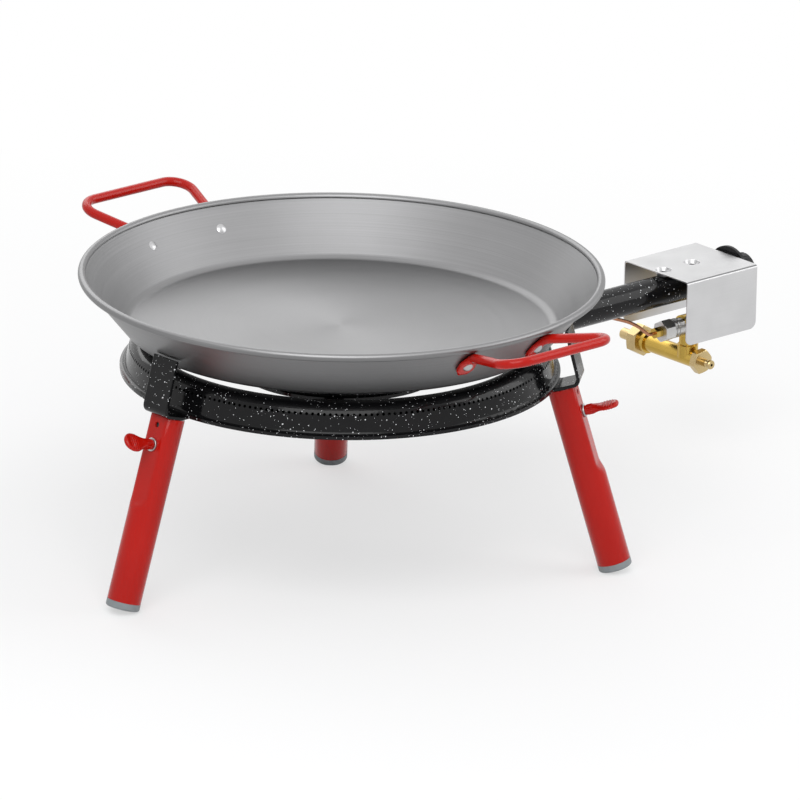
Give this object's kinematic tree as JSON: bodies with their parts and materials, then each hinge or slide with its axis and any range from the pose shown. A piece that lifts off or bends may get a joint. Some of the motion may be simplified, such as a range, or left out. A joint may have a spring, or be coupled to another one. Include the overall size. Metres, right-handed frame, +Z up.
{
  "type": "gas paella burner",
  "caption": "Free-standing gas paella burner: enamelled rings on splayed push-on legs, fed by a tube with a covered safety tap, carrying a wide steel pan with bar handles.",
  "frame": {"origin": "on the burner rings' common axis, at floor level", "axes": "+X along the mixing tube towards the knob, +Z up, the gas inlet on the +Y side"},
  "size_m": [0.7497, 0.5858, 0.2662],
  "materials": {
    "black_enamel": "gloss black enamel with white specks",
    "red_paint": "gloss red paint",
    "thumb_screw": "moulded red",
    "pan_steel": "brushed",
    "cover_steel": "fine satin",
    "zinc_steel": "bright zinc",
    "foot_plastic": "matte grey",
    "knob_plastic": "satin black",
    "brass": "turned brass",
    "pale_brass": "pale brass",
    "chrome": "dull chrome",
    "copper": "copper"
  },
  "bodies": {
    "burner": {"outer_ring_top": "black_enamel", "outer_ring_base": "black_enamel", "inner_ring_top": "black_enamel", "inner_ring_base": "black_enamel", "ring_strap_left": "black_enamel", "ring_strap_right": "black_enamel", "mixing_tube": "black_enamel", "tube_end_cap": "black_enamel", "venturi_plate": "zinc_steel", "bracket_far": "black_enamel", "bracket_left": "black_enamel", "bracket_right": "black_enamel", "leg_stem_far": "zinc_steel", "leg_stem_left": "zinc_steel", "leg_stem_right": "zinc_steel", "valve_cover": "cover_steel", "cover_screws": "zinc_steel", "tap_body": "brass", "tap_bonnet": "brass", "injector": "pale_brass", "gas_rail": "brass", "inlet_nut": "pale_brass", "inlet_stub": "pale_brass", "front_nut": "pale_brass", "test_nipple": "pale_brass", "magnet_unit": "chrome", "lead_nut": "brass", "sensor_lead": "copper", "sensor_sheath": "zinc_steel", "sensor_clip": "zinc_steel"},
    "pan": {"pan_shell": "pan_steel", "handle_front": "red_paint", "handle_back": "red_paint", "handle_rivets": "zinc_steel"},
    "tap_plug": {"tap_plug": "pale_brass"},
    "knob": {"spindle": "zinc_steel", "knob": "knob_plastic"},
    "leg_far": {"leg_tube_far": "red_paint", "foot_cap_far": "foot_plastic", "screw_bush_far": "zinc_steel"},
    "thumb_screw_far": {"thumb_screw_far": "thumb_screw"},
    "leg_left": {"leg_tube_left": "red_paint", "foot_cap_left": "foot_plastic", "screw_bush_left": "zinc_steel"},
    "thumb_screw_left": {"thumb_screw_left": "thumb_screw"},
    "leg_right": {"leg_tube_right": "red_paint", "foot_cap_right": "foot_plastic", "screw_bush_right": "zinc_steel"},
    "thumb_screw_right": {"thumb_screw_right": "thumb_screw"}
  },
  "joints": [
    {"name": "pan_lift", "type": "slide", "parent": "burner", "child": "pan", "axis": [0, 0, 1], "range_m": [0, 0.15]},
    {"name": "tap_turn", "type": "hinge", "parent": "burner", "child": "tap_plug", "pos_m": [0.444, 0, 0.164], "axis": [1, 0, 0], "range_deg": [0, 180]},
    {"name": "knob_push", "type": "slide", "parent": "tap_plug", "child": "knob", "axis": [-1, 0, 0], "range_m": [0, 0.003], "stiffness_N_per_m": 800},
    {"name": "leg_far_pull", "type": "slide", "parent": "burner", "child": "leg_far", "axis": [-0.289, 0, -0.9573], "range_m": [0, 0.06]},
    {"name": "thumb_screw_far_turn", "type": "hinge", "parent": "leg_far", "child": "thumb_screw_far", "pos_m": [-0.21557, 0, 0.14632], "axis": [-0.9573, 0, 0.289], "range_deg": [0, 720]},
    {"name": "leg_left_pull", "type": "slide", "parent": "burner", "child": "leg_left", "axis": [0.1858, -0.2214, -0.9573], "range_m": [0, 0.06]},
    {"name": "thumb_screw_left_turn", "type": "hinge", "parent": "leg_left", "child": "thumb_screw_left", "pos_m": [0.13856, -0.16513, 0.14632], "axis": [0.6154, -0.7333, 0.289], "range_deg": [0, 720]},
    {"name": "leg_right_pull", "type": "slide", "parent": "burner", "child": "leg_right", "axis": [0.1858, 0.2214, -0.9573], "range_m": [0, 0.06]},
    {"name": "thumb_screw_right_turn", "type": "hinge", "parent": "leg_right", "child": "thumb_screw_right", "pos_m": [0.13856, 0.16513, 0.14632], "axis": [0.6154, 0.7333, 0.289], "range_deg": [0, 720]}
  ]
}
